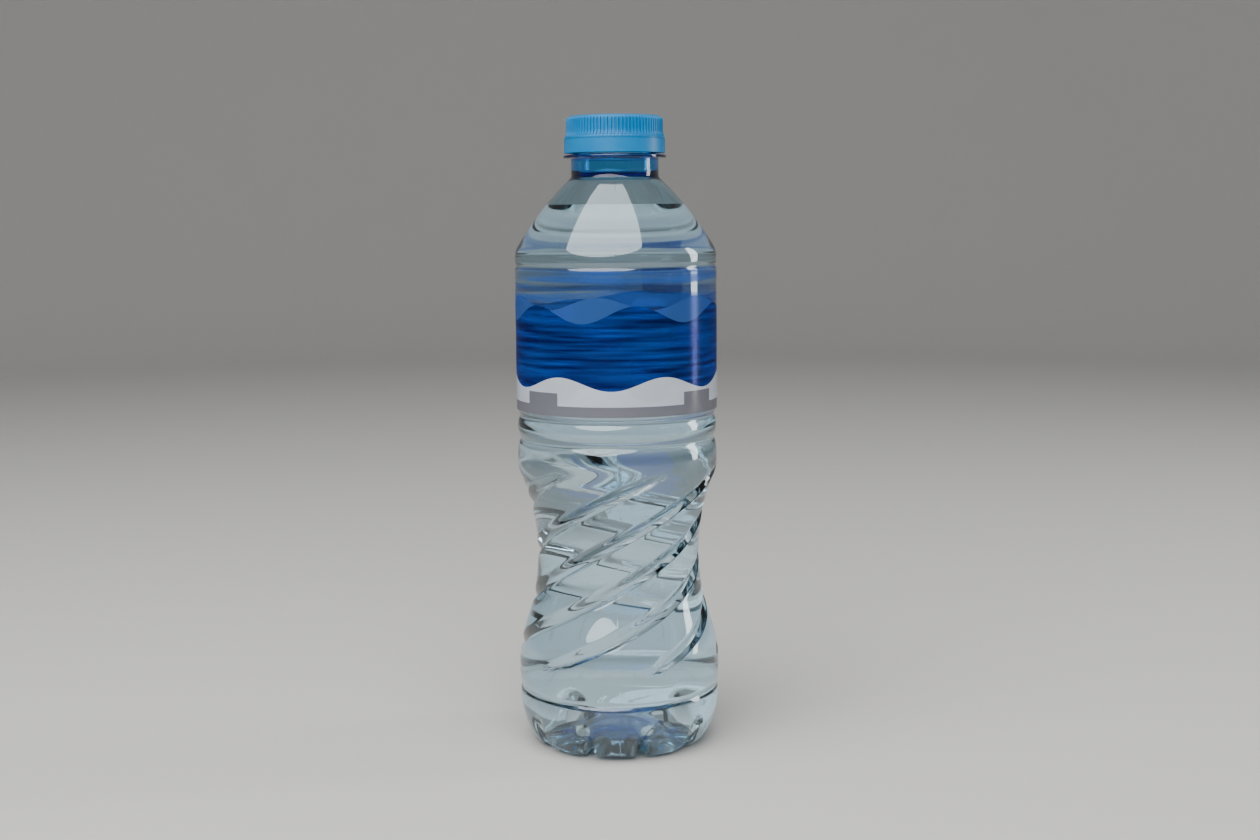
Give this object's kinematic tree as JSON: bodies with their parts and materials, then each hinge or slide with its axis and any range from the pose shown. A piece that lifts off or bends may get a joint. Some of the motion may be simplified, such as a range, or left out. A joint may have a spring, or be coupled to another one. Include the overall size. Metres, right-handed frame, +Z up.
{
  "type": "water bottle",
  "caption": "Clear blown bottle filled with still water, with a spiral-fluted grip waist, a footed base, a wrap label and a ribbed screw cap over a tamper band.",
  "frame": {"origin": "middle of the base on the surface that the bottle stands on", "axes": "+Z up along the bottle's axis to the cap; -Y is the front of the label"},
  "size_m": [0.0658, 0.0656, 0.2038],
  "materials": {
    "clear_pet": "clear blown PET, polished",
    "water": "clear still water",
    "label_film": "printed polypropylene film",
    "cap_plastic": "moulded blue polyethylene, semi-gloss"
  },
  "bodies": {
    "bottle": {"bottle": "clear_pet", "label": "label_film", "water": "water"},
    "tamper_band": {"tamper_band": "cap_plastic"},
    "cap": {"cap": "cap_plastic"}
  },
  "joints": [
    {"name": "cap_turn", "type": "hinge", "parent": "bottle", "child": "tamper_band", "pos_m": [0, 0, 0.1945], "axis": [0, 0, 1], "range_deg": [0, 360]},
    {"name": "cap_lift", "type": "slide", "parent": "tamper_band", "child": "cap", "axis": [0, 0, 1], "range_m": [0, 0.00901]}
  ],
  "couplings": [
    {"joint": "cap_lift", "follows": "cap_turn", "m_per_rad": 0.0014324}
  ]
}
